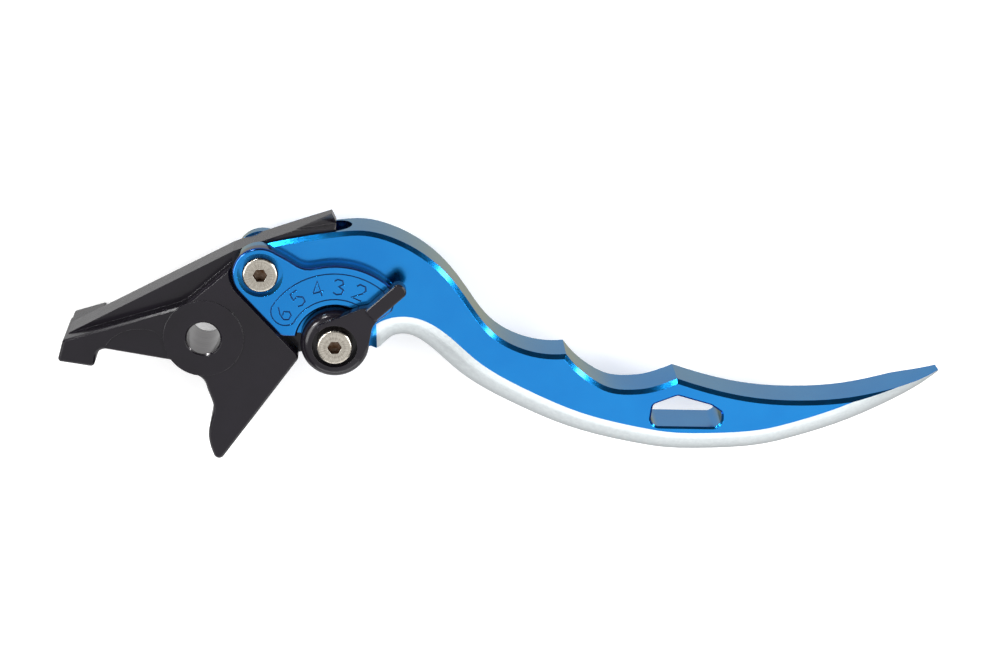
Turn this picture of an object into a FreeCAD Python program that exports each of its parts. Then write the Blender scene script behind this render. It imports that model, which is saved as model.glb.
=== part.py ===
"""Adjustable hand lever for a motorcycle master-cylinder perch.

Frame: the origin is the middle of the perch pivot bore.  +Z runs along that bore and is up on the
motorcycle, +X runs towards the blade's tip and +Y towards the front wheel.  Lengths are millimetres.
"""
import FreeCAD, Part
import math
import os
import Sketcher

V = FreeCAD.Vector
doc = FreeCAD.newDocument("reach_adjustable_lever")

# ---------------------------------------------------------------- driving dimensions
DIMENSIONS = (
    ("perch_bore_radius", 4.0),
    ("boss_half", 8.5),
    ("boss_radius", 9.5),
    ("slab_half", 8.2),
    ("web_half", 4.0),
    ("nose_depth", 13.5),
    ("slot_half", 4.2),
    ("blade_half", 6.0),
    ("plate_top", 9.5),
    ("back_plate_depth", 8.5),
    ("edge_depth", 6.4),
    ("edge_break", 1.0),
    ("pivot_x", 14.1),
    ("pivot_y", 16.0),
    ("pivot_boss_radius", 6.65),
    ("back_boss_radius", 6.4),
    ("adjuster_x", 31.2),
    ("adjuster_y", -1.4),
    ("pocket_radius", 9.3),
    ("fan_radius", 19.4),
    ("screw_radius", 2.5),
    ("head_radius", 4.25),
    ("head_height", 3.4),
    ("socket_flats", 3.0),
    ("sleeve_bore", 2.55),
    ("pivot_sleeve_radius", 3.5),
    ("adjuster_sleeve_radius", 3.0),
    ("running_gap", 0.05),
    ("bush_radius", 4.5),
    ("head_recess_radius", 5.4),
    ("pivot_head_seat", 6.4),
    ("adjuster_head_seat", 9.3),
    ("nut_flats", 8.0),
    ("nut_height", 2.7),
    ("nut_pocket_depth", 2.8),
    ("journal_radius", 4.75),
    ("stem_flats", 8.0),
    ("cam_half", 3.9),
    ("hub_radius", 8.2),
    ("hub_top", 11.6),
    ("plateau_top", 12.3),
    ("arm_foot", 9.85),
    ("arm_top", 13.0),
    ("washer_radius", 7.2),
    ("washer_thickness", 0.5),
    ("reach_angle", 5.5),
    ("index_step", 20.8),
    ("cam_contact_x", 25.8),
    ("cam_gap", 0.2),
    ("spring_radius", 2.5),
    ("spring_wire", 0.35),
    ("spring_x", 28.0),
    ("spring_foot", 15.2),
    ("spring_head", 24.4),
    ("slot_floor", 20.3),
    ("slot_end_x", 31.7),
    ("engraving_depth", 0.3),
)

sheet = doc.addObject("Spreadsheet::Sheet", "dims")
for row, (alias, value) in enumerate(DIMENSIONS, start=1):
    sheet.set(f"A{row}", alias)
    sheet.set(f"B{row}", str(value))
    sheet.setAlias(f"B{row}", alias)
doc.recompute()


def dim(alias):
    """The value of one driving dimension."""
    return float(getattr(sheet, alias))


PIVOT = V(dim("pivot_x"), dim("pivot_y"), 0)
ADJUSTER = V(dim("adjuster_x"), dim("adjuster_y"), 0)
TILTED_CUT = 30.0      # long enough to pass through every wall of the lever
OVERSHOOT = 14.0       # how far a swept edge tool runs past the end of its edge


# ---------------------------------------------------------------- helpers
def polar(centre, radius, degrees):
    """The point at a radius and an angle from a centre."""
    angle = math.radians(degrees)
    return V(centre.x + radius * math.cos(angle), centre.y + radius * math.sin(angle), 0)


def line(start, end):
    return Part.LineSegment(start, end)


def arc_through(start, middle, end):
    return Part.Arc(start, middle, end)


def arc_about(centre, radius, start_degrees, end_degrees):
    """An arc about a centre, from one angle to another, counterclockwise or clockwise."""
    middle = (start_degrees + end_degrees) / 2
    return arc_through(
        polar(centre, radius, start_degrees),
        polar(centre, radius, middle),
        polar(centre, radius, end_degrees),
    )


def smooth(points, level_at=None, start_along=None, end_along=None):
    """A smooth curve through points, level at one of them and with given directions at its ends."""
    flags = [False] * len(points)
    tangents = [V(1, 0, 0)] * len(points)
    if level_at is not None:
        flags[level_at] = True
        travel = points[level_at + 1][0] - points[level_at - 1][0]
        tangents[level_at] = V(math.copysign(1, travel), 0, 0)
    if start_along is not None:
        flags[0] = True
        tangents[0] = start_along
    if end_along is not None:
        flags[-1] = True
        tangents[-1] = end_along
    curve = Part.BSplineCurve()
    vectors = [V(x, y, 0) for x, y in points]
    if any(flags):
        curve.interpolate(Points=vectors, Tangents=tangents, TangentFlags=flags)
    else:
        curve.interpolate(Points=vectors)
    return curve


def rounded(corners):
    """Lines round an open or closed run of corners (x, y, radius), each corner an arc."""
    geometry = []
    previous = V(corners[0][0], corners[0][1], 0)
    for index in range(1, len(corners) - 1):
        x, y, radius = corners[index]
        corner = V(x, y, 0)
        following = V(corners[index + 1][0], corners[index + 1][1], 0)
        if radius == 0:
            geometry.append(line(previous, corner))
            previous = corner
            continue
        back = (V(corners[index - 1][0], corners[index - 1][1], 0) - corner).normalize()
        ahead = (following - corner).normalize()
        half = math.acos(max(-1.0, min(1.0, back.dot(ahead)))) / 2
        reach = radius / math.tan(half)
        start = corner + back * reach
        end = corner + ahead * reach
        bisector = (back + ahead).normalize()
        middle = corner + bisector * (radius / math.sin(half) - radius)
        geometry.append(line(previous, start))
        geometry.append(arc_through(start, middle, end))
        previous = end
    geometry.append(line(previous, V(corners[-1][0], corners[-1][1], 0)))
    return geometry


def ring_of(corners):
    """The closed outline of rounded corners: it starts and ends half way along its first side."""
    first = corners[0]
    second = corners[1]
    middle = ((first[0] + second[0]) / 2, (first[1] + second[1]) / 2, 0)
    return rounded([middle] + corners[1:] + [first, middle])


def new_body(label):
    body = doc.addObject("PartDesign::Body", label)
    body.Label = label
    return body


def origin_plane(body, role):
    return next(plane for plane in body.Origin.OriginFeatures if plane.Role == role)


def sketch(body, name, height="0", geometry=(), plane="XY_Plane"):
    """A sketch parallel to one of the body's origin planes, at a height taken from the sheet."""
    drawn = body.newObject("Sketcher::SketchObject", name)
    drawn.AttachmentSupport = (origin_plane(body, plane), [""])
    drawn.MapMode = "FlatFace"
    drawn.setExpression("AttachmentOffset.Base.z", height)
    if geometry:
        drawn.addGeometry(list(geometry))
    return drawn


def circle(drawn, x, y, radius):
    """A full circle in a sketch, with its centre and radius held by the sheet."""
    index = drawn.addGeometry(Part.Circle(V(1, 1, 0), V(0, 0, 1), 1))
    for kind, value in (("DistanceX", x), ("DistanceY", y)):
        number = drawn.addConstraint(Sketcher.Constraint(kind, -1, 1, index, 3, 1.0))
        drawn.setExpression(f"Constraints[{number}]", value)
    number = drawn.addConstraint(Sketcher.Constraint("Radius", index, 1.0))
    drawn.setExpression(f"Constraints[{number}]", radius)
    return index


def pad(body, drawn, length, both_ways=False, downwards=False):
    feature = body.newObject("PartDesign::Pad", drawn.Name + "_pad")
    feature.Profile = drawn
    feature.Midplane = both_ways
    feature.Reversed = downwards
    feature.setExpression("Length", length)
    body.Tip = feature
    return feature


def pocket(body, drawn, length, both_ways=False, along_normal=False):
    """A cut from a sketch: against its normal, along it, or to both sides of it."""
    feature = body.newObject("PartDesign::Pocket", drawn.Name + "_cut")
    feature.Profile = drawn
    feature.Midplane = both_ways
    feature.Reversed = along_normal
    feature.setExpression("Length", length)
    body.Tip = feature
    return feature


def cut_removes(before, after, name):
    """Stop if a cut failed or took nothing away."""
    doc.recompute()
    if after.Shape.isNull():
        raise ValueError(f"{name} failed: {[item.Name for item in doc.Objects if 'Invalid' in item.State]}")
    if after.Shape.Volume > before - 0.01:
        raise ValueError(f"{name} removed nothing")


def level_edges(feature, height, smallest=0.0):
    """The names of a feature's edges that lie in the plane Z = height."""
    names = []
    for index, edge in enumerate(feature.Shape.Edges, start=1):
        box = edge.BoundBox
        if abs(box.ZMin - height) < 1e-4 and abs(box.ZMax - height) < 1e-4 and edge.Length > smallest:
            names.append(f"Edge{index}")
    return names


def dress(body, kind, base, edges, size_name, size):
    """A fillet or chamfer on named edges of the feature before it."""
    feature = body.newObject(f"PartDesign::{kind}", f"{base.Name}_{kind.lower()}")
    feature.Base = (base, edges)
    if size_name == "Radius":
        feature.Radius = size
    else:
        feature.Size = size
    body.Tip = feature
    doc.recompute()
    return feature


def hexagon(flats):
    """A hexagon about the local origin, given the distance across its flats."""
    corner = flats / math.sqrt(3)
    points = [polar(V(0, 0, 0), corner, 60 * side) for side in range(6)]
    return [line(points[side], points[(side + 1) % 6]) for side in range(6)]


def stand_at(item, x, y):
    """Put a sub-part on an axis parallel to Z, held by the sheet."""
    item.setExpression("Placement.Base.x", x)
    item.setExpression("Placement.Base.y", y)


def tube(label, outer, inner, bottom, top, x, y):
    """A plain tube on an axis parallel to Z."""
    parts = []
    for suffix, radius in (("outside", outer), ("bore", inner)):
        cylinder = doc.addObject("Part::Cylinder", f"{label}_{suffix}")
        cylinder.setExpression("Radius", radius)
        cylinder.setExpression("Height", f"({top}) - ({bottom})")
        cylinder.setExpression("Placement.Base.z", bottom)
        parts.append(cylinder)
    ring = doc.addObject("Part::Cut", label)
    ring.Base = parts[0]
    ring.Tool = parts[1]
    ring.Label = label
    stand_at(ring, x, y)
    return ring


# ---------------------------------------------------------------- mount: the black adapter
FACE_BREAK = 0.5
ROOF_START = V(-32.4, 0.54, 0)
ROOF_END = V(7.6, 20.34, 0)
TONGUE_TIP_TOP = V(31.1, 27.9, 0)
TONGUE_TIP_FOOT = V(32.3, 25.2, 0)
GAP_RADIUS = 7.1       # wall of the adapter round the lever's pivot boss
GAP_TOP_ANGLE = 165    # where that wall meets the upper side
WEB_BOSS_RADIUS = 6.6  # tongue round the pivot bush
CHEEK_ANGLE = 222.3    # where the cheek's straight edge leaves the pivot boss


def thick_outline():
    """The full-depth part of the adapter: stop nose, arm, perch boss and push fin."""
    wall_start = polar(PIVOT, GAP_RADIUS, CHEEK_ANGLE)
    gap_top = polar(PIVOT, GAP_RADIUS, GAP_TOP_ANGLE)
    boss_start = polar(V(0, 0, 0), dim("boss_radius"), 215.5)
    boss_end = polar(V(0, 0, 0), dim("boss_radius"), 249)
    fin_side = V(0.85, -29.5, 0)
    fin_tip = V(1.9, -32.7, 0)
    geometry = rounded([
        (boss_start.x, boss_start.y, 0),
        (-25.3, -1.9, 2.4),
        (-26.3, -6.8, 1.0),
        (-34.9, -5.2, 0.8),
        (-33.3, 0.1, 0.8),
        (-4.3, 8.2, 1.5),
        (gap_top.x, gap_top.y, 0),
    ])
    geometry.append(arc_about(PIVOT, GAP_RADIUS, GAP_TOP_ANGLE, CHEEK_ANGLE))
    geometry += rounded([
        (wall_start.x, wall_start.y, 0),
        (22.8, -5.2, 1.6),
        (fin_tip.x, fin_tip.y, 1.3),
        (fin_side.x, fin_side.y, 0),
    ])
    boss_tangent = V(math.sin(math.radians(249)), -math.cos(math.radians(249)), 0)
    flank = [(fin_side.x, fin_side.y), (0.1, -25.2), (0.7, -21.6), (1.6, -18.0), (0.4, -13.2), (boss_end.x, boss_end.y)]
    geometry += [
        smooth(flank, None, (fin_side - fin_tip).normalize(), boss_tangent),
        arc_about(V(0, 0, 0), dim("boss_radius"), 249, 215.5),
    ]
    return geometry


def web_outline():
    """The middle web: roof bar, tongue between the lever's cheeks, and cam seat."""
    seat = dim("cam_contact_x")
    under_tongue = polar(PIVOT, WEB_BOSS_RADIUS, 55)
    beside_pivot = polar(PIVOT, WEB_BOSS_RADIUS, -25)
    geometry = [
        line(ROOF_START, ROOF_END),
        arc_through(ROOF_END, V(19.4, 24.3, 0), TONGUE_TIP_TOP),
    ]
    geometry += rounded([
        (TONGUE_TIP_TOP.x, TONGUE_TIP_TOP.y, 0),
        (TONGUE_TIP_FOOT.x, TONGUE_TIP_FOOT.y, 0.5),
        (under_tongue.x, under_tongue.y, 0),
    ])
    geometry.append(arc_about(PIVOT, WEB_BOSS_RADIUS, 55, -25))
    geometry += rounded([
        (beside_pivot.x, beside_pivot.y, 0),
        (seat, 3.8, 0.8),
        (seat, -5.0, 0.8),
        (18.0, -6.0, 0),
        (-24.0, -2.6, 0),
        (ROOF_START.x, -2.6, 0),
        (ROOF_START.x, ROOF_START.y, 0),
    ])
    return geometry


def make_mount_adapter():
    body = new_body("mount_adapter")
    slab = pad(body, sketch(body, "slab", "0", thick_outline()), "2 * dims.slab_half", both_ways=True)
    doc.recompute()
    edges = level_edges(slab, dim("slab_half")) + level_edges(slab, -dim("slab_half"))
    dress(body, "Chamfer", slab, edges, "Size", FACE_BREAK)
    pad(body, sketch(body, "web", "0", web_outline()), "2 * dims.web_half", both_ways=True)
    nose = ring_of([
        (-34.6, -5.0, 0.7),
        (-26.5, -6.5, 1.0),
        (-25.2, 2.1, 0.4),
        (-33.1, -0.1, 0.7),
    ])
    pad(body, sketch(body, "nose", "-dims.nose_depth", nose), "dims.nose_depth - dims.web_half")
    boss = sketch(body, "perch_boss")
    circle(boss, "0", "0", "dims.boss_radius")
    pad(body, boss, "2 * dims.boss_half", both_ways=True)
    doc.recompute()
    volume = body.Shape.Volume

    relief = [
        smooth([(-24.5, -8.0), (-22.6, -0.6), (-19.6, 1.7), (-14.8, 2.6), (-11.3, 1.7), (-9.3, -1.4), (-8.9, -8.0)]),
        line(V(-8.9, -8.0, 0), V(-24.5, -8.0, 0)),
    ]
    relief_depth = "0.25"
    top_relief = pocket(body, sketch(body, "arm_relief", "dims.slab_half", relief), relief_depth)
    cut_removes(volume, top_relief, "arm relief")

    bush_bore = sketch(body, "bush_bore", "-dims.boss_half")
    circle(bush_bore, "dims.pivot_x", "dims.pivot_y", "dims.bush_radius")
    volume = body.Shape.Volume
    cut = pocket(body, bush_bore, "2 * dims.boss_half", along_normal=True)
    cut_removes(volume, cut, "bush bore")

    seat = sketch(body, "spring_seat", "dims.spring_head", plane="XZ_Plane")
    seat.setExpression("AttachmentOffset.Base.z", "-dims.spring_head")
    circle(seat, "dims.spring_x", "0", "dims.spring_radius + 0.3")
    volume = body.Shape.Volume
    cut = pocket(body, seat, "3", along_normal=True)
    cut_removes(volume, cut, "spring seat")

    taper_foot = 25.3
    taper_points = [V(20.9, 4.6, 0), V(34.0, 4.6, 0), V(34.0, -1.9, 0), V(20.9, 4.0, 0)]
    taper = sketch(body, "tongue_taper", "0", [
        line(taper_points[i], taper_points[(i + 1) % 4]) for i in range(4)
    ], plane="XZ_Plane")
    taper.setExpression("AttachmentOffset.Base.z", str(-taper_foot))
    volume = body.Shape.Volume
    cut_removes(volume, pocket(body, taper, "8"), "tongue taper")

    bore = sketch(body, "perch_bore", "-dims.boss_half")
    circle(bore, "0", "0", "dims.perch_bore_radius")
    volume = body.Shape.Volume
    cut = pocket(body, bore, "2 * dims.boss_half", along_normal=True)
    cut_removes(volume, cut, "perch bore")
    rim = []
    for index, edge in enumerate(cut.Shape.Edges, start=1):
        if edge.Curve.TypeId == "Part::GeomCircle" and len(edge.Vertexes) == 1:
            if abs(edge.Curve.Radius - dim("perch_bore_radius")) < 1e-3:
                rim.append(f"Edge{index}")
    dress(body, "Chamfer", cut, rim, "Size", 0.4)
    return body


# ---------------------------------------------------------------- lever: blue body and blade
CREST = [(15.8, 22.45), (23.6, 23.9), (30.5, 24.8), (37.0, 25.3), (43.3, 24.2), (50.0, 21.1), (57.0, 15.5),
         (63.3, 7.2), (69.2, -0.9), (75.3, -4.9), (81.3, -6.7), (87.0, -6.9)]
CREST_LEVEL = 3
FINGER = [(87.0, -6.9), (90.0, -10.6), (94.8, -14.4), (102.8, -16.6), (109.5, -15.7), (114.3, -13.9)]
FINGER_LEVEL = 3
TIP_TOP = [(114.3, -13.9), (120.5, -16.1), (129.5, -18.6), (147.5, -20.4), (161.0, -19.2), (170.5, -17.05),
           (175.5, -15.75), (179.75, -14.2)]
TIP_TOP_LEVEL = 3
BELLY = [(180.1, -15.0), (175.0, -18.85), (167.0, -23.35), (156.0, -28.25), (144.0, -32.05), (123.0, -34.45),
         (106.0, -32.85), (90.0, -28.45), (75.2, -21.65), (60.5, -12.05), (52.7, -4.75), (48.8, -2.7),
         (45.3, -2.9), (43.5, -3.5), (42.0, -4.4)]
BELLY_LEVEL = 5
ROUND_PATH = BELLY[:-2] + [(44.2, -3.6), (43.7, -5.1), (43.6, -7.1)]  # turns off before the heel
STOCK = 0.4            # left on the belly for the rounding tool to take off


def lever_outline():
    """The blade and the band above the cheeks, seen along Z."""
    boss_top = 75.3
    first = polar(PIVOT, dim("pivot_boss_radius"), boss_top)
    cheek_start = polar(PIVOT, dim("pivot_boss_radius"), CHEEK_ANGLE)
    crest = [(first.x, first.y)] + CREST[1:]
    skirt_left = polar(ADJUSTER, 7.6, 168)
    skirt_right = polar(ADJUSTER, 7.6, 336)
    belly = [(x, y - STOCK) for x, y in BELLY]
    geometry = [
        smooth(crest, CREST_LEVEL),
        smooth(FINGER, FINGER_LEVEL),
        smooth(TIP_TOP, TIP_TOP_LEVEL),
        line(V(*TIP_TOP[-1], 0), V(*belly[0], 0)),
        smooth(belly, BELLY_LEVEL),
    ]
    geometry += rounded([
        (belly[-1][0], belly[-1][1], 0),
        (41.0, -4.9, 0.4),
        (39.6, -3.8, 0.8),
        (skirt_right.x, skirt_right.y, 0),
    ])
    geometry.append(arc_about(ADJUSTER, 7.6, 336, 168))
    geometry += rounded([
        (skirt_left.x, skirt_left.y, 0),
        (18.5, 0.5, 2.2),
        (cheek_start.x, cheek_start.y, 0),
    ])
    geometry.append(arc_about(PIVOT, dim("pivot_boss_radius"), CHEEK_ANGLE, boss_top))
    return geometry


def plate_outline(boss_radius, pocket_radius):
    """The raised number plate: pivot boss, fan about the adjuster, and straight lower edge."""
    fan_start = 98
    fan_end = 46
    boss_exit = polar(PIVOT, boss_radius, 58)
    cheek_start = polar(PIVOT, boss_radius, CHEEK_ANGLE)
    fan_first = polar(ADJUSTER, dim("fan_radius"), fan_start)
    fan_last = polar(ADJUSTER, dim("fan_radius"), fan_end)
    inner_right = polar(ADJUSTER, pocket_radius, 24)
    inner_left = polar(ADJUSTER, pocket_radius, 169)
    along_boss = V(math.sin(math.radians(58)), -math.cos(math.radians(58)), 0)
    along_fan = V(math.sin(math.radians(fan_start)), -math.cos(math.radians(fan_start)), 0)
    valley = [(boss_exit.x, boss_exit.y), (21.0, 19.6), (24.4, 17.6), (fan_first.x, fan_first.y)]
    geometry = [
        arc_about(PIVOT, boss_radius, CHEEK_ANGLE, 58),
        smooth(valley, None, along_boss, along_fan),
        arc_about(ADJUSTER, dim("fan_radius"), fan_start, fan_end),
    ]
    geometry += rounded([
        (fan_last.x, fan_last.y, 0),
        (46.5, 10.7, 1.2),
        (45.0, 6.2, 1.2),
        (inner_right.x, inner_right.y, 0),
    ])
    geometry.append(arc_about(ADJUSTER, pocket_radius, 24, 169))
    geometry += rounded([
        (inner_left.x, inner_left.y, 0),
        (18.5, 0.5, 2.2),
        (cheek_start.x, cheek_start.y, 0),
    ])
    return geometry


def edge_tool(body, name, curve_points, level, section, mirrored):
    """Cut along an outline edge with a swept tool.

    The section is drawn where the edge runs level, and the sweep runs on in a straight line past
    both ends, so that neighbouring tools meet in a clean mitre.  A tool that works on the upper
    half only is mirrored into the lower half.
    """
    curve = smooth(curve_points, level)
    ends = []
    for parameter, sign in ((curve.FirstParameter, -1), (curve.LastParameter, 1)):
        point = curve.value(parameter)
        direction = curve.tangent(parameter)[0]
        ends.append((point, point + direction * sign * OVERSHOOT))
    path = sketch(body, f"{name}_path", "0", [
        line(ends[0][1], ends[0][0]),
        curve,
        line(ends[1][0], ends[1][1]),
    ])
    x, y = curve_points[level]
    profile = sketch(body, f"{name}_section", str(x), section(y), plane="YZ_Plane")
    doc.recompute()
    volume = body.Shape.Volume
    tool = body.newObject("PartDesign::SubtractivePipe", f"{name}_sweep")
    tool.Profile = profile
    tool.Spine = (path, ["Edge1", "Edge2", "Edge3"])
    body.Tip = tool
    cut_removes(volume, tool, name)
    if mirrored:
        other_side = body.newObject("PartDesign::Mirrored", f"{name}_mirror")
        other_side.Originals = [tool]
        other_side.MirrorPlane = (origin_plane(body, "XY_Plane"), [""])
        body.Tip = other_side
        cut_removes(tool.Shape.Volume, other_side, f"{name} mirror")


def chamfer_section(y):
    """A triangle outside the flat edge break of an upper edge, in the YZ plane."""
    size = dim("edge_break")
    half = dim("blade_half")
    beyond = 0.5
    corners = [
        V(y - size - beyond, half + beyond, 0),
        V(y + beyond, half - size - beyond, 0),
        V(y + beyond, half + beyond, 0),
    ]
    return [line(corners[i], corners[(i + 1) % 3]) for i in range(3)]


def bullnose_section(y):
    """What lies outside the blade's rounded bar-side edge, in the YZ plane."""
    depth = dim("edge_depth")
    half = dim("blade_half")
    lift = 0.04        # the rounds reach a little past the faces, so that they meet them at an angle
    flat = 0.5         # half the height of the flat left in the middle
    crown = 0.75       # how far the round stands out from a straight bevel
    beyond = 0.9
    outside = half + 1.0
    rise = half + lift - flat
    slope = math.hypot(depth, rise)
    swell_y = y + depth / 2 - crown * rise / slope
    swell_z = flat + rise / 2 + crown * depth / slope
    high = V(y + depth, half + lift, 0)
    low = V(y + depth, -half - lift, 0)
    return [
        arc_through(high, V(swell_y, swell_z, 0), V(y, flat, 0)),
        line(V(y, flat, 0), V(y, -flat, 0)),
        arc_through(V(y, -flat, 0), V(swell_y, -swell_z, 0), low),
        line(low, V(y + depth, -outside, 0)),
        line(V(y + depth, -outside, 0), V(y - beyond, -outside, 0)),
        line(V(y - beyond, -outside, 0), V(y - beyond, outside, 0)),
        line(V(y - beyond, outside, 0), V(y + depth, outside, 0)),
        line(V(y + depth, outside, 0), high),
    ]


def lower_slot():
    """The room between the cheeks for the adapter's web, the cam seat and the cam."""
    web_gap = 7.2
    cam_room = 7.7
    top = V(PIVOT.x + math.sqrt(web_gap ** 2 - (dim("slot_floor") - PIVOT.y) ** 2), dim("slot_floor"), 0)
    floor_angle = math.degrees(math.asin((dim("slot_floor") - PIVOT.y) / web_gap))
    beside_pivot = polar(PIVOT, web_gap, -20)
    above_cam = polar(ADJUSTER, cam_room, 127)
    behind_cam = polar(ADJUSTER, cam_room, -18)
    left = 2.0
    bottom = -14.0
    return [
        line(V(left, dim("slot_floor"), 0), top),
        arc_about(PIVOT, web_gap, floor_angle, -20),
        line(beside_pivot, above_cam),
        arc_about(ADJUSTER, cam_room, 127, -18),
        line(behind_cam, V(behind_cam.x, bottom, 0)),
        line(V(behind_cam.x, bottom, 0), V(left, bottom, 0)),
        line(V(left, bottom, 0), V(left, dim("slot_floor"), 0)),
    ]


def digit_strokes():
    """The strokes of the position numbers 1 to 6, each in a unit cell 0..1 wide and 0..1.5 tall."""
    return {
        1: [[(0.25, 1.2), (0.55, 1.5), (0.55, 0.0)]],
        2: [[(0.0, 1.15), (0.2, 1.45), (0.75, 1.45), (0.95, 1.1), (0.8, 0.75), (0.0, 0.0), (1.0, 0.0)]],
        3: [[(0.05, 1.3), (0.35, 1.5), (0.8, 1.4), (0.9, 1.05), (0.5, 0.8), (0.95, 0.5), (0.8, 0.1),
             (0.35, 0.0), (0.0, 0.2)]],
        4: [[(0.72, 0.0), (0.72, 1.5), (0.05, 0.5)], [(0.0, 0.45), (1.0, 0.45)]],
        5: [[(0.9, 1.5), (0.15, 1.5), (0.05, 0.85), (0.55, 0.95), (0.95, 0.6), (0.85, 0.15), (0.45, 0.0),
             (0.0, 0.15)]],
        6: [[(0.8, 1.5), (0.25, 1.0), (0.0, 0.45), (0.25, 0.05), (0.7, 0.05), (0.95, 0.4), (0.7, 0.82),
             (0.3, 0.74)]],
    }


def stroke_cut(points, half_width):
    """The outline round one stroke: a band that follows its corners, joined at the angle bisectors."""
    sides = ([], [])
    for index, point in enumerate(points):
        before = (point - points[index - 1]).normalize() if index > 0 else None
        after = (points[index + 1] - point).normalize() if index < len(points) - 1 else None
        along = before if after is None else after if before is None else (before + after).normalize()
        across = V(-along.y, along.x, 0)
        stretch = 1.0
        if before is not None and after is not None:
            stretch = min(1.6, 1 / max(0.3, across.dot(V(-after.y, after.x, 0))))
        sides[0].append(point + across * half_width * stretch)
        sides[1].append(point - across * half_width * stretch)
    corners = sides[0] + sides[1][::-1]
    return [line(corners[i], corners[(i + 1) % len(corners)]) for i in range(len(corners))]


def engrave(body, stroke_name, geometry):
    """Cut one closed outline a little way into the top of the number plate."""
    faces = len(body.Shape.Faces)
    cut = pocket(body, sketch(body, stroke_name, "dims.plate_top", geometry), "dims.engraving_depth")
    doc.recompute()
    if len(cut.Shape.Faces) <= faces:
        raise ValueError(f"{stroke_name} removed nothing")


def engrave_scale(body):
    """The position numbers and the line round them."""
    digit_width = 2.55
    first_angle = 43.0
    stroke_half = 0.18
    number_radius = 14.2
    for number, strokes in digit_strokes().items():
        degrees = first_angle + dim("index_step") * (number - 1)
        centre = polar(ADJUSTER, number_radius, degrees)
        turn = math.radians(degrees - 90)
        right = V(math.cos(turn), math.sin(turn), 0)
        up = V(-math.sin(turn), math.cos(turn), 0)
        for index, stroke in enumerate(strokes):
            points = [
                centre + right * ((x - 0.5) * digit_width) + up * ((y - 0.75) * digit_width)
                for x, y in stroke
            ]
            engrave(body, f"number_{number}_{index}", stroke_cut(points, stroke_half))
    groove = 0.3
    outer = 17.6
    inner = 10.9
    start = 34
    end = 156
    rings = []
    for inset in (0.0, groove):
        high = outer - inset
        low = inner + inset
        trim = math.degrees(inset / 14)
        first = start + trim
        last = end - trim
        bulge = (high + low) / 2
        rings += [
            arc_about(ADJUSTER, high, first + 4, last - 9),
            arc_through(
                polar(ADJUSTER, high, last - 9),
                polar(ADJUSTER, bulge, last + 3),
                polar(ADJUSTER, low, last - 4),
            ),
            arc_about(ADJUSTER, low, last - 4, first + 6),
            line(polar(ADJUSTER, low, first + 6), polar(ADJUSTER, high, first + 4)),
        ]
    engrave(body, "scale_line", rings)


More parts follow.
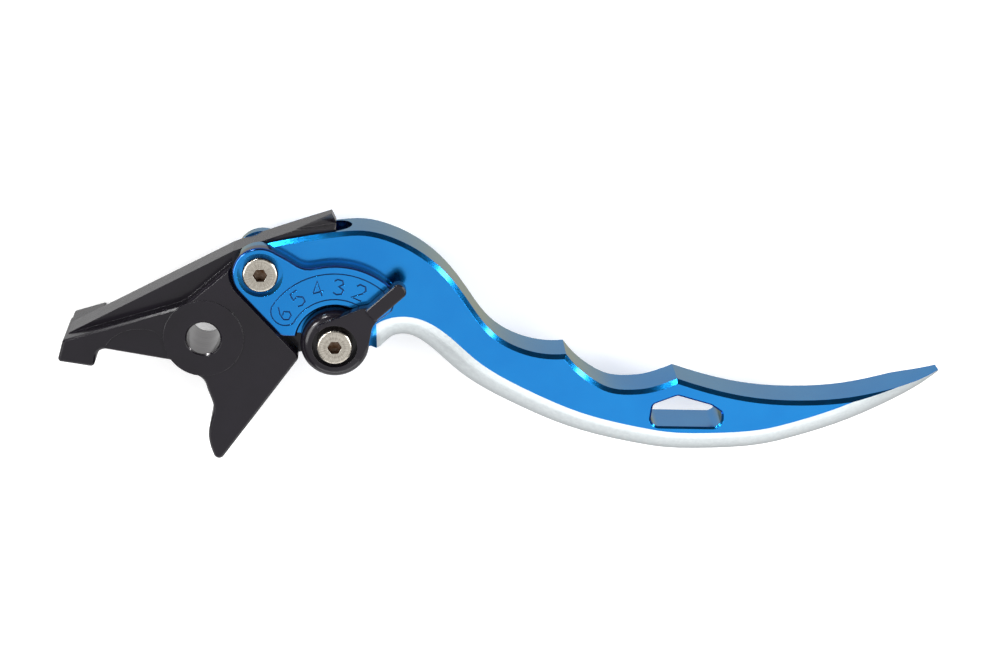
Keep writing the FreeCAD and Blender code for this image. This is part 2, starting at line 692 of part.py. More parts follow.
def make_lever_blade():
    body = new_body("lever_blade")
    pad(body, sketch(body, "blade", "0", lever_outline()), "2 * dims.blade_half", both_ways=True)
    doc.recompute()
    edge_tool(body, "crest_break", CREST, CREST_LEVEL, chamfer_section, True)
    edge_tool(body, "finger_break", FINGER, FINGER_LEVEL, chamfer_section, True)
    edge_tool(body, "tip_break", TIP_TOP, TIP_TOP_LEVEL, chamfer_section, True)
    edge_tool(body, "belly_round", ROUND_PATH, BELLY_LEVEL, bullnose_section, False)

    plate_length = "dims.plate_top - dims.slot_half"
    plate = sketch(body, "number_plate", "dims.slot_half",
                   plate_outline(dim("pivot_boss_radius"), dim("pocket_radius")))
    top = pad(body, plate, plate_length)
    doc.recompute()
    dress(body, "Fillet", top, level_edges(top, dim("plate_top")), "Radius", 0.7)
    back_plate = sketch(body, "back_plate", "-dims.slot_half",
                        plate_outline(dim("back_boss_radius"), dim("pocket_radius")))
    back = pad(body, back_plate, "dims.back_plate_depth - dims.slot_half", downwards=True)
    doc.recompute()
    dress(body, "Fillet", back, level_edges(back, -dim("back_plate_depth")), "Radius", 0.7)
    back_boss = sketch(body, "adjuster_back_boss", "-dims.back_plate_depth")
    circle(back_boss, "dims.adjuster_x", "dims.adjuster_y", "7.4")
    boss = pad(body, back_boss, "dims.back_plate_depth - dims.slot_half")
    doc.recompute()
    dress(body, "Fillet", boss, level_edges(boss, -dim("back_plate_depth"), 40), "Radius", 0.5)

    volume = body.Shape.Volume
    lower = pocket(body, sketch(body, "lower_slot", "0", lower_slot()), "2 * dims.slot_half", both_ways=True)
    cut_removes(volume, lower, "lower slot")
    half = dim("slot_half")
    end = dim("slot_end_x")
    left = 2.0
    tongue_slot = [
        line(V(left, -half, 0), V(end, -half, 0)),
        arc_through(V(end, -half, 0), V(end + half, 0, 0), V(end, half, 0)),
        line(V(end, half, 0), V(left, half, 0)),
        line(V(left, half, 0), V(left, -half, 0)),
    ]
    volume = body.Shape.Volume
    upper = pocket(body, sketch(body, "tongue_slot", "-dims.slot_floor", tongue_slot, plane="XZ_Plane"), "12")
    cut_removes(volume, upper, "tongue slot")

    spring_room = sketch(body, "spring_room", "-dims.spring_foot", plane="XZ_Plane")
    circle(spring_room, "dims.spring_x", "0", "dims.spring_radius + 0.3")
    volume = body.Shape.Volume
    cut_removes(volume, pocket(body, spring_room, "8"), "spring room")

    bores = (
        ("pivot_bore", "pivot", "dims.pivot_sleeve_radius", "-dims.plate_top", "2 * dims.plate_top"),
        ("adjuster_bore", "adjuster", "dims.adjuster_sleeve_radius", "-dims.plate_top", "2 * dims.plate_top"),
        ("journal_bore", "adjuster", "dims.journal_radius + dims.running_gap", "0", "dims.plate_top"),
        ("pivot_head_recess", "pivot", "dims.head_recess_radius", "dims.pivot_head_seat", "5"),
    )
    for name, axis, radius, height, length in bores:
        drawn = sketch(body, name, height)
        circle(drawn, f"dims.{axis}_x", f"dims.{axis}_y", radius)
        volume = body.Shape.Volume
        cut_removes(volume, pocket(body, drawn, length, along_normal=True), name)
    for name, centre in (("pivot_nut_pocket", PIVOT), ("adjuster_nut_pocket", ADJUSTER)):
        flats = [
            line(V(edge.StartPoint) + centre, V(edge.EndPoint) + centre)
            for edge in hexagon(dim("nut_flats"))
        ]
        volume = body.Shape.Volume
        drawn = sketch(body, name, "-dims.back_plate_depth", flats)
        cut_removes(volume, pocket(body, drawn, "dims.nut_pocket_depth", along_normal=True), name)

    window = ring_of([
        (108.5, -20.4, 1.2),
        (107.7, -26.1, 2.2),
        (125.5, -26.8, 2.2),
        (125.5, -22.8, 1.2),
        (122.8, -20.9, 1.0),
        (114.5, -18.2, 1.2),
    ])
    volume = body.Shape.Volume
    drawn = sketch(body, "window", "-dims.blade_half", window)
    opening = pocket(body, drawn, "2 * dims.blade_half", along_normal=True)
    cut_removes(volume, opening, "window")
    window_edges = []
    for height in (dim("blade_half"), -dim("blade_half")):
        for name in level_edges(opening, height):
            box = opening.Shape.getElement(name).BoundBox
            if 106 < box.XMin and box.XMax < 127 and -28.2 < box.YMin and box.YMax < -17:
                window_edges.append(name)
    dress(body, "Chamfer", opening, window_edges, "Size", 0.5)
    engrave_scale(body)
    return body


# ---------------------------------------------------------------- screws, sleeves, nuts, washer
def make_screw(label, seat, axis):
    """A low-head socket screw that points down from its seat."""
    body = new_body(label)
    head = dim("head_radius")
    shank = dim("screw_radius")
    top = dim(seat) + dim("head_height")
    tip = -dim("back_plate_depth") + 0.3
    edge = 0.7
    bevel = 0.6
    half_profile = [
        V(0, top, 0),
        V(head - edge, top, 0),
        V(head, top - edge, 0),
        V(head, dim(seat), 0),
        V(shank, dim(seat), 0),
        V(shank, tip + bevel, 0),
        V(shank - bevel, tip, 0),
        V(0, tip, 0),
    ]
    outline = [line(half_profile[i], half_profile[(i + 1) % 8]) for i in range(8)]
    outline[1] = arc_through(
        half_profile[1],
        V(head - edge + edge * math.sin(math.pi / 4), top - edge + edge * math.cos(math.pi / 4), 0),
        half_profile[2],
    )
    profile = sketch(body, f"{label}_profile", "0", outline, plane="XZ_Plane")
    turned = body.newObject("PartDesign::Revolution", f"{label}_turned")
    turned.Profile = profile
    turned.ReferenceAxis = (profile, ["V_Axis"])
    turned.Angle = 360
    body.Tip = turned
    doc.recompute()
    volume = body.Shape.Volume
    socket = sketch(body, f"{label}_socket", f"dims.{seat} + dims.head_height", hexagon(dim("socket_flats")))
    cut_removes(volume, pocket(body, socket, "2"), f"{label} socket")
    stand_at(body, f"dims.{axis}_x", f"dims.{axis}_y")
    return body


def make_nut(label, axis):
    """A thin hexagon nut in its pocket in the back cheek."""
    body = new_body(label)
    bottom = "nut_pocket_depth - back_plate_depth - nut_height"
    height = " ".join(word if word == "-" else f"dims.{word}" for word in bottom.split())
    drawn = sketch(body, f"{label}_hexagon", height, hexagon(dim("nut_flats") - 0.1))
    circle(drawn, "0", "0", "dims.screw_radius")
    pad(body, drawn, "dims.nut_height")
    stand_at(body, f"dims.{axis}_x", f"dims.{axis}_y")
    return body


def make_reach_spring():
    """The compression spring between the lever's slot floor and the adapter's tongue."""
    wire = dim("spring_wire")
    turns = 6
    foot = dim("spring_foot") + wire
    head = dim("spring_head") - wire
    mean_radius = dim("spring_radius") - wire
    helix = doc.addObject("Part::Helix", "reach_spring_line")
    helix.Radius = mean_radius
    helix.Height = head - foot
    helix.Pitch = (head - foot) / turns
    section = doc.addObject("Part::Circle", "reach_spring_wire")
    section.Radius = wire
    section.Placement = FreeCAD.Placement(V(mean_radius, 0, 0), FreeCAD.Rotation(V(1, 0, 0), 90))
    spring = doc.addObject("Part::Sweep", "reach_spring")
    spring.Sections = [section]
    spring.Spine = (helix, ["Edge1"])
    spring.Solid = True
    spring.Frenet = True
    spring.Label = "reach_spring"
    spring.Placement = FreeCAD.Placement(V(dim("spring_x"), foot, 0), FreeCAD.Rotation(V(1, 0, 0), -90))
    return spring


# ---------------------------------------------------------------- adjuster: thumb lever and cam
def make_adjuster_lever():
    """The thumb lever: domed hub, flat-topped arm, round journal and hexagon stem."""
    body = new_body("adjuster_lever")
    hub_foot = dim("blade_half") + dim("washer_thickness") + 0.1
    stem_foot = -dim("cam_half")
    hub = dim("hub_radius")
    top = dim("hub_top")
    dome = 2.6
    journal = dim("journal_radius")
    stem_top = 4.0
    bore = dim("adjuster_sleeve_radius") + dim("running_gap")
    recess = dim("head_recess_radius")
    recess_floor = dim("adjuster_head_seat") - 0.15
    points = [
        V(bore, stem_top, 0),
        V(journal, stem_top, 0),
        V(journal, hub_foot, 0),
        V(hub - 0.4, hub_foot, 0),
        V(hub, hub_foot + 0.4, 0),
        V(hub, top - dome, 0),
        V(hub - dome, top, 0),
        V(recess, top, 0),
        V(recess, recess_floor, 0),
        V(bore, recess_floor, 0),
    ]
    outline = [line(points[i], points[(i + 1) % len(points)]) for i in range(len(points))]
    outline[5] = arc_through(
        points[5],
        V(hub - dome + dome * math.cos(math.pi / 4), top - dome + dome * math.sin(math.pi / 4), 0),
        points[6],
    )
    profile = sketch(body, "hub_profile", "0", outline, plane="XZ_Plane")
    turned = body.newObject("PartDesign::Revolution", "hub_turned")
    turned.Profile = profile
    turned.ReferenceAxis = (profile, ["V_Axis"])
    turned.Angle = 360
    body.Tip = turned
    doc.recompute()

    stem = sketch(body, "stem", str(stem_foot), hexagon(dim("stem_flats")))
    circle(stem, "0", "0", "dims.adjuster_sleeve_radius + dims.running_gap")
    pad(body, stem, f"{stem_top - stem_foot}")
    doc.recompute()

    centre = V(0, 0, 0)
    ridge = 6.5
    ridge_angle = 21.4
    arm_angle = 41.1
    arm_front = 2.0
    arm_back = -1.6
    arm_end = 22.3
    plate_end = 12.9
    along = polar(centre, 1, ridge_angle)
    across = polar(centre, 1, arm_angle + 90)
    arm = polar(centre, 1, arm_angle)
    left = polar(centre, 6.7, 127)
    knee = polar(centre, ridge, ridge_angle + 90) + along * 9.3
    front = arm * plate_end + across * (arm_front - 0.3)
    back = arm * plate_end + across * arm_back
    notch = polar(centre, 10.1, 27)
    right = polar(centre, 8.1, 2)
    below = polar(centre, 6.9, -30)
    inside = polar(centre, 3.0, -60)
    inside_left = polar(centre, 3.0, 170)
    outline = ring_of([
        (left.x, left.y, 0.5),
        (inside_left.x, inside_left.y, 0.5),
        (inside.x, inside.y, 0.5),
        (below.x, below.y, 0.5),
        (right.x, right.y, 1.0),
        (notch.x, notch.y, 1.0),
        (back.x, back.y, 0.4),
        (front.x, front.y, 0.4),
        (knee.x, knee.y, 1.0),
    ])
    plate = pad(body, sketch(body, "plateau", "dims.arm_foot", outline), "dims.plateau_top - dims.arm_foot")
    doc.recompute()
    dress(body, "Fillet", plate, level_edges(plate, dim("plateau_top")), "Radius", 0.3)
    arm_start = 11.4
    bar_corners = [
        (arm_start, arm_back, 0.6),
        (arm_end, arm_back, 1.5),
        (arm_end, arm_front, 1.5),
        (arm_start, arm_front, 0.6),
    ]
    bar = []
    for distance, offset, radius in bar_corners:
        point = arm * distance + across * offset
        bar.append((point.x, point.y, radius))
    thumb_bar = pad(body, sketch(body, "thumb_bar", "dims.arm_foot", ring_of(bar)), "dims.arm_top - dims.arm_foot")
    doc.recompute()
    dress(body, "Fillet", thumb_bar, level_edges(thumb_bar, dim("arm_top")), "Radius", 0.5)
    room = sketch(body, "head_room", str(recess_floor))
    circle(room, "0", "0", "dims.head_recess_radius")
    volume = body.Shape.Volume
    cut_removes(volume, pocket(body, room, "6", along_normal=True), "head room")
    stand_at(body, "dims.adjuster_x", "dims.adjuster_y")
    return body


def make_adjuster_cam():
    """The six-flat cam: each flat faces the adapter's seat in one of the six positions."""
    positions = 6
    lever_step = dim("reach_angle") / (positions - 1)
    total_step = dim("index_step") + lever_step
    arm = ADJUSTER - PIVOT
    distances = []
    for position in range(positions):
        turned = math.radians(lever_step * position)
        x = PIVOT.x + arm.x * math.cos(turned) - arm.y * math.sin(turned)
        distances.append(x - dim("cam_contact_x") - dim("cam_gap"))
    normals = [180 - total_step * position for position in range(positions)]
    back_distance = 5.6
    back_sides = 8
    back_step = (360 - total_step * (positions - 1)) / (back_sides + 1)
    for side in range(1, back_sides + 1):
        normals.append(normals[positions - 1] - back_step * side)
        blend = side / (back_sides + 1)
        low = min(1.0, 3 * min(blend, 1 - blend))
        edge_distance = distances[positions - 1] * (1 - blend) + distances[0] * blend
        distances.append(edge_distance * (1 - low) + min(back_distance, edge_distance) * low)
    corners = []
    count = len(normals)
    for index in range(count):
        following = (index + 1) % count
        a = math.radians(normals[index])
        b = math.radians(normals[following])
        spread = math.sin(b - a)
        x = (distances[index] * math.sin(b) - distances[following] * math.sin(a)) / spread
        y = (distances[following] * math.cos(a) - distances[index] * math.cos(b)) / spread
        corners.append(V(x, y, 0))
    outline = [line(corners[i], corners[(i + 1) % count]) for i in range(count)]
    body = new_body("adjuster_cam")
    drawn = sketch(body, "cam_outline", "-dims.cam_half", outline)
    pad(body, drawn, "2 * dims.cam_half")
    doc.recompute()
    volume = body.Shape.Volume
    keyway = sketch(body, "cam_keyway", "-dims.cam_half", hexagon(dim("stem_flats") + 0.04))
    cut_removes(volume, pocket(body, keyway, "2 * dims.cam_half", along_normal=True), "cam keyway")
    stand_at(body, "dims.adjuster_x", "dims.adjuster_y")
    return body


# ---------------------------------------------------------------- the assembly
nut_seat = "-(dims.back_plate_depth - dims.nut_pocket_depth)"
sub_parts = [
    make_mount_adapter(),
    tube("tongue_bush", "dims.bush_radius", "dims.pivot_sleeve_radius + dims.running_gap",
         "-dims.web_half", "dims.web_half", "dims.pivot_x", "dims.pivot_y"),
    make_lever_blade(),
    make_screw("pivot_screw", "pivot_head_seat", "pivot"),
    make_screw("adjuster_screw", "adjuster_head_seat", "adjuster"),
    tube("pivot_sleeve", "dims.pivot_sleeve_radius", "dims.sleeve_bore",
         nut_seat, "dims.pivot_head_seat", "dims.pivot_x", "dims.pivot_y"),
    tube("adjuster_sleeve", "dims.adjuster_sleeve_radius", "dims.sleeve_bore",
         nut_seat, "dims.adjuster_head_seat", "dims.adjuster_x", "dims.adjuster_y"),
    make_nut("pivot_nut", "pivot"),
    make_nut("adjuster_nut", "adjuster"),
    tube("adjuster_washer", "dims.washer_radius", "dims.journal_radius + 0.15",
         "dims.blade_half", "dims.blade_half + dims.washer_thickness", "dims.adjuster_x", "dims.adjuster_y"),
    make_adjuster_lever(),
    make_adjuster_cam(),
    make_reach_spring(),
]
doc.recompute()

for item in doc.Objects:
    if "Invalid" in item.State or "Error" in item.State:
        raise ValueError(f"{item.Name} failed: {item.State}")
os.makedirs("parts", exist_ok=True)
for part in sub_parts:
    if part.Shape.isNull() or not part.Shape.isValid():
        raise ValueError(f"{part.Label} has no valid shape")
for part in sub_parts:
    part.Shape.exportStep(f"parts/{part.Label}.step")
    print(part.Label, len(part.Shape.Solids), round(part.Shape.Volume, 1))
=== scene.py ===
import bpy
from mathutils import Matrix, Vector


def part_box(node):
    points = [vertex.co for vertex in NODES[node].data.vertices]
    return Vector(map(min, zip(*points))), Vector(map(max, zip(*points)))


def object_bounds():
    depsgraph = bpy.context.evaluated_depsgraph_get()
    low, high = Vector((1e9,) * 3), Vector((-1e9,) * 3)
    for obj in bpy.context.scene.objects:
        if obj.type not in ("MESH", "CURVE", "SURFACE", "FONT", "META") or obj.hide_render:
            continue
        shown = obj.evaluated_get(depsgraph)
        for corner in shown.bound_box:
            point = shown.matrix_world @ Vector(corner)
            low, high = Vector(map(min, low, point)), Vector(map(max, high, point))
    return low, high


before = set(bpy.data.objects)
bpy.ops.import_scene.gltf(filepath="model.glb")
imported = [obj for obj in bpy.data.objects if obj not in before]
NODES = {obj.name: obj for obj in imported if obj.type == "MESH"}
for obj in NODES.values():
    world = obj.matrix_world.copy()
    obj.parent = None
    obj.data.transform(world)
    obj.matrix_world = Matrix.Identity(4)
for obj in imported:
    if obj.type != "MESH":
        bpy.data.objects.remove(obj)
CAD_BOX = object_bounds()
MM = 0.001


def rgb(red, green, blue):
    """A linear colour from sRGB 0..255."""
    out = []
    for value in (red, green, blue):
        value /= 255
        out.append(value / 12.92 if value <= 0.04045 else ((value + 0.055) / 1.055) ** 2.4)
    return (*out, 1.0)


# ---------------------------------------------------------------- places on the part, in metres
PLATE_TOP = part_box("lever_blade")[1].z
BLADE_HALF = 5.985 * MM     # just inside the blade's two faces
HEEL_X = 41.2 * MM          # where the silver starts
BAR_SIDE_LEAN = 0.2         # the Y of a normal, below which a face is on the bar side
WINDOW_X = 116.6 * MM       # the window's walls stay blue
WINDOW_HALF = 9.6 * MM
WINDOW_LOW = -26.55 * MM
BARE_RADIUS = 4.15 * MM     # the perch bore and its bevel
SOCKET_RADIUS = 1.75 * MM   # hexagon sockets of the screws

# ---------------------------------------------------------------- colours and light levels
BLUE = rgb(26, 152, 238)
BLUE_DEEP = rgb(20, 144, 232)
BLUE_SUNK_SHADE = rgb(18, 62, 124)            # painted shade in the engraved lines and numbers
BLUE_STEP_SHADE = rgb(16, 58, 140)            # painted shade on the sloping wall up to the number plate
BLUE_TINT = (0.85, 0.68, 0.28, 1.0)     # how the anodising darkens at a glancing angle
SILVER = rgb(226, 233, 235)
SILVER_LOW = rgb(214, 221, 224)
BLACK = rgb(24, 20, 28)
BLACK_DEEP = rgb(17, 14, 20)
BLACK_EDGE = rgb(120, 118, 122)
BORE = rgb(120, 118, 119)
BORE_LOW = rgb(102, 100, 101)
STEEL = rgb(226, 220, 208)
STEEL_DARK = rgb(168, 160, 148)
STEEL_EDGE = rgb(240, 238, 232)
# dark brown laid into the screw sockets, stronger deeper down
SOCKET_BROWN = rgb(96, 70, 50)
HARD = rgb(150, 150, 152)
HARD_DARK = rgb(112, 112, 116)
SPRING = rgb(188, 186, 182)
SPRING_DARK = rgb(140, 138, 136)
BRONZE = rgb(196, 148, 92)
BRONZE_DARK = rgb(160, 112, 64)
NYLON = rgb(222, 216, 200)
NYLON_DARK = rgb(196, 188, 168)
TABLE = rgb(250, 250, 250)
TABLE_DARK = rgb(246, 246, 246)
WHITE = rgb(255, 255, 255)
FLOOR_GLOW = 0.3       # the floor stands in for a lit white table
FAR_DIM = 0.5          # how much the dome darkens on the finger side
LEFT_DIM = 0.75        # the dome is dimmer over the perch end
SKY_LOW = 0.06         # the dome at the horizon
SKY_HIGH = 0.88        # and overhead
UNDER_DEEP = 0.7       # what walls and undersides mirror, straight down
UNDER_LEVEL = 1.0      # and just below the horizon
RIM_DIM = 0.4          # how much darker that is on the bar side
FLOOR_GAP = 0.2 * MM   # between the floor and the lowest point of the part


# ---------------------------------------------------------------- node helpers
class Nodes:
    """A short way to write a node tree."""

    def __init__(self, tree):
        self.tree = tree
        self.coordinates = tree.nodes.new("ShaderNodeTexCoord").outputs

    def put(self, socket, value):
        if isinstance(value, bpy.types.NodeSocket):
            self.tree.links.new(value, socket)
        else:
            socket.default_value = value

    def math(self, operation, a, b=0.0, c=0.0, clamp=False):
        node = self.tree.nodes.new("ShaderNodeMath")
        node.operation = operation
        node.use_clamp = clamp
        for socket, value in zip(node.inputs, (a, b, c)):
            self.put(socket, value)
        return node.outputs[0]

    def axes(self, vector):
        node = self.tree.nodes.new("ShaderNodeSeparateXYZ")
        self.put(node.inputs[0], vector)
        return node.outputs

    def spread(self, value, low, high, to_low, to_high, smooth=False):
        node = self.tree.nodes.new("ShaderNodeMapRange")
        node.interpolation_type = "SMOOTHSTEP" if smooth else "LINEAR"
        names = ("Value", "From Min", "From Max", "To Min", "To Max")
        for name, item in zip(names, (value, low, high, to_low, to_high)):
            self.put(node.inputs[name], item)
        return node.outputs[0]


class Graph(Nodes):
    """One material: its node tree and its Principled shader."""

    def __init__(self, name):
        self.material = bpy.data.materials.new(name)
        self.material.use_nodes = True
        self.material.node_tree.nodes.clear()
        super().__init__(self.material.node_tree)
        self.shader = self.tree.nodes.new("ShaderNodeBsdfPrincipled")
        output = self.tree.nodes.new("ShaderNodeOutputMaterial")
        self.tree.links.new(self.shader.outputs["BSDF"], output.inputs["Surface"])
        self.place = self.coordinates["Object"]
        self.normal = self.coordinates["Normal"]

    def product(self, *values):
        result = values[0]
        for value in values[1:]:
            result = self.math("MULTIPLY", result, value)
        return result

    def radius(self, x, y):
        squares = self.math("ADD", self.math("MULTIPLY", x, x), self.math("MULTIPLY", y, y))
        return self.math("SQRT", squares)

    def combine(self, x, y, z):
        node = self.tree.nodes.new("ShaderNodeCombineXYZ")
        for socket, value in zip(node.inputs, (x, y, z)):
            self.put(socket, value)
        return node.outputs[0]

    def noise(self, scale, detail=3.0, rough=0.5, vector=None):
        node = self.tree.nodes.new("ShaderNodeTexNoise")
        self.put(node.inputs["Vector"], vector or self.place)
        node.inputs["Scale"].default_value = scale
        node.inputs["Detail"].default_value = detail
        node.inputs["Roughness"].default_value = rough
        return node.outputs["Fac"]

    def mix(self, factor, a, b):
        node = self.tree.nodes.new("ShaderNodeMix")
        node.data_type = "RGBA"
        self.put(node.inputs[0], factor)
        for socket, value in ((node.inputs[6], a), (node.inputs[7], b)):
            self.put(socket, value)
        return node.outputs[2]

    def bump(self, height, distance, strength=1.0, before=None):
        node = self.tree.nodes.new("ShaderNodeBump")
        node.inputs["Strength"].default_value = strength
        node.inputs["Distance"].default_value = distance
        self.put(node.inputs["Height"], height)
        if before is not None:
            self.put(node.inputs["Normal"], before)
        return node.outputs[0]

    def edges(self, radius, low=0.02, high=0.16):
        """1 along sharp edges, 0 on flats: how far a rounded normal leans from the true one."""
        bevel = self.tree.nodes.new("ShaderNodeBevel")
        bevel.samples = 6
        bevel.inputs["Radius"].default_value = radius
        geometry = self.tree.nodes.new("ShaderNodeNewGeometry")
        dot = self.tree.nodes.new("ShaderNodeVectorMath")
        dot.operation = "DOT_PRODUCT"
        self.put(dot.inputs[0], bevel.outputs[0])
        self.put(dot.inputs[1], geometry.outputs["Normal"])
        lean = self.math("SUBTRACT", 1.0, dot.outputs["Value"])
        return self.spread(lean, low, high, 0.0, 1.0, smooth=True), bevel.outputs[0]

    def finish(self, **sockets):
        for name, value in sockets.items():
            self.put(self.shader.inputs[name.replace("_", " ")], value)
        return self.material


def blast(graph, grain, depth, before=None):
    """The fine even grain of a blasted and anodised surface, with a slower unevenness under it."""
    fine = graph.noise(grain, 2.0, 0.6)
    slow = graph.noise(grain / 14, 2.0, 0.5)
    height = graph.math("ADD", fine, graph.product(slow, 0.6))
    return graph.bump(height, depth, 1.0, before)


# ---------------------------------------------------------------- materials
def blue_and_silver():
    """Blue anodised aluminium; the rounded bar side of the blade is machined back to bright metal."""
    graph = Graph("blue_anodised_cut_back")
    x, y, z = graph.axes(graph.place)
    facing = graph.axes(graph.normal)
    from_window = graph.math("ABSOLUTE", graph.math("SUBTRACT", x, WINDOW_X))
    window = graph.product(graph.math("LESS_THAN", from_window, WINDOW_HALF),
                           graph.math("GREATER_THAN", y, WINDOW_LOW))
    silver = graph.product(graph.math("LESS_THAN", facing[1], BAR_SIDE_LEAN),
                           graph.math("LESS_THAN", graph.math("ABSOLUTE", z), BLADE_HALF),
                           graph.math("GREATER_THAN", x, HEEL_X),
                           graph.math("SUBTRACT", 1.0, window))

    worn, soft_normal = graph.edges(0.08 * MM)
    cloud = graph.noise(70, 4.0, 0.55)
    mottle = graph.noise(900, 3.0, 0.6)
    blue = graph.mix(graph.spread(cloud, 0.35, 0.7, 0.0, 1.0), BLUE_DEEP, BLUE)
    below = graph.math("LESS_THAN", z, PLATE_TOP - 0.04 * MM)
    # painted shade: the engraved lines and numbers, just below the plate top, are darkened to navy
    sunk_shade = graph.product(graph.math("GREATER_THAN", z, PLATE_TOP - 0.4 * MM), below)
    blue = graph.mix(graph.product(sunk_shade, graph.spread(mottle, 0.3, 0.7, 0.75, 1.0)), blue, BLUE_SUNK_SHADE)
    # painted shade: the sloping, not upward-facing wall up to the number plate is darkened to navy
    step_shade = graph.product(graph.spread(z, 6.2 * MM, 7.4 * MM, 0.0, 1.0),
                         graph.spread(facing[2], 0.5, 0.85, 1.0, 0.0), below)
    blue = graph.mix(graph.product(step_shade, 0.85), blue, BLUE_STEP_SHADE)
    bright = graph.mix(graph.spread(mottle, 0.3, 0.7, 0.0, 1.0), SILVER_LOW, SILVER)
    colour = graph.mix(silver, blue, bright)

    brushed = graph.noise(160, 3.0, 0.6, graph.combine(
        graph.product(x, 9.0), graph.product(y, 22.0), graph.product(z, 26.0)))
    blue_rough = graph.spread(graph.noise(300, 3.0, 0.6), 0.3, 0.7, 0.17, 0.23)
    silver_rough = graph.spread(brushed, 0.3, 0.7, 0.38, 0.48)
    rough = graph.math("ADD", graph.product(blue_rough, graph.math("SUBTRACT", 1.0, silver)),
                       graph.product(silver_rough, silver))
    rough = graph.math("SUBTRACT", rough, graph.product(worn, 0.04))
    tint = graph.mix(silver, BLUE_TINT, WHITE)
    grain = blast(graph, 5200, 0.0015 * MM, soft_normal)
    normal = graph.bump(graph.product(brushed, silver), 0.008 * MM, 0.4, grain)
    return graph.finish(Base_Color=colour, Metallic=1.0, Roughness=rough, Normal=normal,
                        Specular_Tint=tint, Coat_Weight=0.5, Coat_Roughness=0.1, Coat_IOR=1.5)


def black_anodised(name, bore=False):
    """Black anodised aluminium with bright worn edges; the perch bore is left as bare metal."""
    graph = Graph(name)
    worn, soft_normal = graph.edges(0.22 * MM)
    cloud = graph.noise(60, 4.0, 0.6)
    mottle = graph.noise(1100, 3.0, 0.6)
    black = graph.mix(graph.spread(cloud, 0.3, 0.7, 0.0, 1.0), BLACK_DEEP, BLACK)
    rubbed = graph.product(worn, graph.spread(mottle, 0.35, 0.7, 0.0, 0.35))
    black = graph.mix(rubbed, black, BLACK_EDGE)
    rough = graph.spread(graph.noise(420, 4.0, 0.6), 0.3, 0.7, 0.16, 0.25)
    metal = 0.0
    normal = blast(graph, 4800, 0.002 * MM, soft_normal)
    if bore:
        x, y, z = graph.axes(graph.place)
        bare = graph.math("LESS_THAN", graph.radius(x, y), BARE_RADIUS)
        rings = graph.noise(900, 2.0, 0.5, graph.combine(0.0, 0.0, z))
        bright = graph.mix(graph.spread(rings, 0.3, 0.7, 0.0, 1.0), BORE_LOW, BORE)
        black = graph.mix(bare, black, bright)
        metal = bare
        normal = graph.bump(graph.product(rings, bare), 0.03 * MM, 0.7, normal)
    return graph.finish(Base_Color=black, Metallic=metal, Roughness=rough, Normal=normal,
                        Specular_IOR_Level=0.36, Coat_Weight=0.15, Coat_Roughness=0.08, Coat_IOR=1.5)


def turned_steel(name, centre, light, dark, roughness, socket_top=None, socket_radius=0.0):
    """Turned metal about an axis parallel to Z: fine rings and radial sheen, and a socket that turns darker,
    browner and rougher towards its floor.
    """
    graph = Graph(name)
    x, y, z = graph.axes(graph.place)
    from_x = graph.math("SUBTRACT", x, centre[0])
    from_y = graph.math("SUBTRACT", y, centre[1])
    radius = graph.radius(from_x, from_y)
    angle = graph.math("ARCTAN2", from_y, from_x)
    rings = graph.noise(1500, 3.0, 0.6, graph.combine(radius, 0.0, z))
    fan = graph.combine(graph.product(angle, 2.2), graph.product(radius, 120), 0.0)
    rays = graph.noise(5.0, 4.0, 0.7, fan)
    mottle = graph.noise(700, 4.0, 0.6)
    worn, soft_normal = graph.edges(0.15 * MM)
    shade = graph.math("ADD", graph.product(rings, 0.5), graph.product(rays, 0.5))
    colour = graph.mix(graph.spread(shade, 0.38, 0.62, 0.0, 1.0), dark, light)
    colour = graph.mix(graph.product(worn, 0.5), colour, STEEL_EDGE)
    uneven = graph.math("ADD", graph.product(rays, 0.6), graph.product(mottle, 0.4))
    rough = graph.spread(uneven, 0.35, 0.65, roughness - 0.07, roughness + 0.09)
    if socket_top is not None:
        # the socket turns darker, browner and rougher from 0.05 mm to 0.5 mm below the screw's top
        inside = graph.math("LESS_THAN", radius, socket_radius)
        below = graph.spread(z, socket_top - 0.5 * MM, socket_top - 0.05 * MM, 1.0, 0.0, smooth=True)
        socket_dark = graph.product(inside, below, graph.spread(mottle, 0.3, 0.6, 0.75, 1.0))
        colour = graph.mix(socket_dark, colour, SOCKET_BROWN)
        rough = graph.math("ADD", rough, graph.product(socket_dark, 0.3), clamp=True)
    normal = graph.bump(rings, 0.012 * MM, 0.8, soft_normal)
    normal = graph.bump(rays, 0.02 * MM, 0.35, normal)
    return graph.finish(Base_Color=colour, Metallic=1.0, Roughness=rough, Normal=normal)


def plain_metal(name, light, dark, roughness, grain):
    """A drawn or ground metal part: slow tone change, fine lengthwise scratches, rubbed edges."""
    graph = Graph(name)
    x, y, z = graph.axes(graph.place)
    worn, soft_normal = graph.edges(0.12 * MM)
    scratches = graph.noise(grain, 3.0, 0.6, graph.combine(x, y, graph.product(z, 9.0)))
    cloud = graph.noise(140, 4.0, 0.6)
    colour = graph.mix(graph.spread(cloud, 0.3, 0.7, 0.0, 1.0), dark, light)
    colour = graph.mix(graph.product(worn, 0.45), colour, STEEL_EDGE)
    rough = graph.spread(scratches, 0.3, 0.7, roughness - 0.06, roughness + 0.1)
    normal = graph.bump(scratches, 0.015 * MM, 0.7, soft_normal)
    return graph.finish(Base_Color=colour, Metallic=1.0, Roughness=rough, Normal=normal)


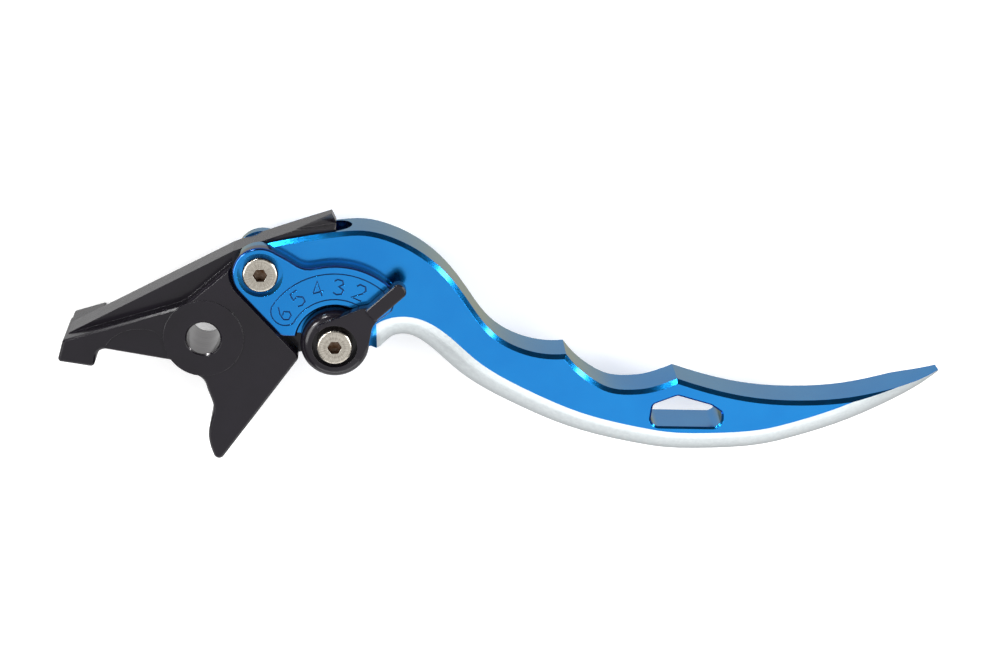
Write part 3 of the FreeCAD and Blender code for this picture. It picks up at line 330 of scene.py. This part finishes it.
def nylon():
    """Translucent-looking off-white nylon with a moulded, faintly orange-peel skin."""
    graph = Graph("nylon_moulded")
    cloud = graph.noise(160, 4.0, 0.6)
    peel = graph.noise(2600, 2.0, 0.5)
    colour = graph.mix(graph.spread(cloud, 0.3, 0.7, 0.0, 1.0), NYLON_DARK, NYLON)
    rough = graph.spread(peel, 0.3, 0.7, 0.42, 0.56)
    return graph.finish(Base_Color=colour, Roughness=rough, Normal=graph.bump(peel, 0.02 * MM, 0.6))


def middle_of(node):
    low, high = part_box(node)
    return (low + high) / 2


def assign(node, material):
    obj = NODES[node]
    if not obj.data.materials:
        obj.data.materials.append(material)
    for index in range(len(obj.material_slots)):
        obj.material_slots[index].material = material


def screw_metal(node):
    centre = middle_of(node)
    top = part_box(node)[1].z
    return turned_steel(f"stainless_{node}", (centre.x, centre.y), STEEL, STEEL_DARK, 0.22,
                        top, SOCKET_RADIUS)


def finishes():
    assign("lever_blade", blue_and_silver())
    assign("mount_adapter", black_anodised("black_anodised_adapter", bore=True))
    assign("adjuster_lever", black_anodised("black_anodised_thumb_lever"))
    for node in ("pivot_screw", "adjuster_screw"):
        assign(node, screw_metal(node))
    for node in ("pivot_nut", "adjuster_nut"):
        centre = middle_of(node)
        assign(node, turned_steel(f"stainless_{node}", (centre.x, centre.y), STEEL, STEEL_DARK, 0.32))
    for node in ("pivot_sleeve", "adjuster_sleeve"):
        assign(node, plain_metal(f"ground_{node}", HARD, HARD_DARK, 0.26, 1800))
    assign("adjuster_cam", plain_metal("hardened_cam", HARD, HARD_DARK, 0.34, 1300))
    assign("reach_spring", plain_metal("spring_wire", SPRING, SPRING_DARK, 0.28, 2400))
    assign("tongue_bush", plain_metal("bronze_bush", BRONZE, BRONZE_DARK, 0.34, 1500))
    assign("adjuster_washer", nylon())


# ---------------------------------------------------------------- studio
def aim(obj, place, forward, up):
    """Stand a camera or light at a place, looking along forward."""
    back = -Vector(forward).normalized()
    side = Vector(up).cross(back).normalized()
    rise = back.cross(side)
    turn = Matrix((side, rise, back)).transposed().to_4x4()
    obj.matrix_world = Matrix.Translation(place) @ turn


def floor():
    low = CAD_BOX[0]
    bpy.ops.mesh.primitive_plane_add(size=6.0, location=(0.07, 0.0, low.z - FLOOR_GAP))
    plane = bpy.context.object
    plane.name = "studio_floor"
    graph = Graph("studio_floor_white")
    tone = graph.noise(30, 2.0, 0.5)
    colour = graph.mix(graph.spread(tone, 0.3, 0.7, 0.0, 1.0), TABLE_DARK, TABLE)
    plane.data.materials.append(graph.finish(Base_Color=colour, Roughness=0.9,
                                            Emission_Color=WHITE, Emission_Strength=FLOOR_GLOW))
    plane.visible_glossy = False       # mirror-like faces see the dim lower dome instead


def panel(name, place, target, width, height, power, colour=(1.0, 1.0, 1.0)):
    data = bpy.data.lights.new(name, "AREA")
    data.shape = "RECTANGLE"
    data.size = width
    data.size_y = height
    data.energy = power
    data.color = colour
    lamp = bpy.data.objects.new(name, data)
    bpy.context.scene.collection.objects.link(lamp)
    place = Vector(place)
    aim(lamp, place, Vector(target) - place, (0.0, 1.0, 0.01))
    return lamp


def sky():
    """Soft white dome, bright overhead and dim near the horizon, with a grey lower half to mirror."""
    world = bpy.data.worlds.new("studio")
    bpy.context.scene.world = world
    world.use_nodes = True
    tree = world.node_tree
    background = tree.nodes["Background"]
    background.inputs["Color"].default_value = (1.0, 1.0, 1.0, 1.0)
    nodes = Nodes(tree)
    x, y, z = nodes.axes(nodes.coordinates["Generated"])
    height = nodes.math("MULTIPLY_ADD", nodes.math("MAXIMUM", y, 0.0), -FAR_DIM, z)
    upper = nodes.math("MULTIPLY", nodes.spread(height, 0.15, 0.75, SKY_LOW, SKY_HIGH, smooth=True),
                       nodes.spread(x, -0.12, 0.08, LEFT_DIM, 1.0, smooth=True))
    rim = nodes.math("MULTIPLY", nodes.spread(y, -0.5, 0.0, 1.0, 0.0, smooth=True),
                     nodes.spread(z, -0.8, -0.3, 1.0, 0.0, smooth=True))
    lower = nodes.math("MULTIPLY_ADD", rim, -RIM_DIM,
                       nodes.spread(z, -0.5, -0.1, UNDER_DEEP, UNDER_LEVEL, smooth=True))
    below = nodes.math("LESS_THAN", z, 0.0)
    strength = nodes.math("MULTIPLY_ADD", below, nodes.math("SUBTRACT", lower, upper), upper)
    nodes.put(background.inputs["Strength"], strength)


def lights():
    sky()
    centre = (0.07, 0.0, 0.0)
    panel("left_wall", (-0.85, 0.15, 0.75), centre, 0.5, 0.9, 7.0)
    panel("right_wall", (1.0, 0.10, 0.75), centre, 0.5, 0.9, 7.0)
    panel("left_strip", (-0.30, 0.765, 0.27), centre, 0.14, 0.08, 1.8)
    panel("corner_strip", (-0.58, 0.43, 0.48), centre, 0.16, 0.16, 2.0)
    panel("right_strip", (0.85, 0.42, 0.22), centre, 0.30, 0.10, 1.0)
    panel("bar_side", (0.10, -0.85, 0.28), centre, 1.1, 0.3, 2.5)


def camera():
    data = bpy.data.cameras.new("camera")
    data.lens = 78.05
    data.sensor_width = 36.0
    data.clip_start = 0.01
    eye = bpy.data.objects.new("camera", data)
    bpy.context.scene.collection.objects.link(eye)
    aim(eye, Vector((0.04437, 0.17901, 0.49577)), (0.05075, -0.34428, -0.93749), (0.01861, 0.93887, -0.34378))
    bpy.context.scene.camera = eye
    bpy.context.scene.view_settings.view_transform = "Standard"


finishes()
floor()
lights()
camera()
bpy.context.view_layer.update()
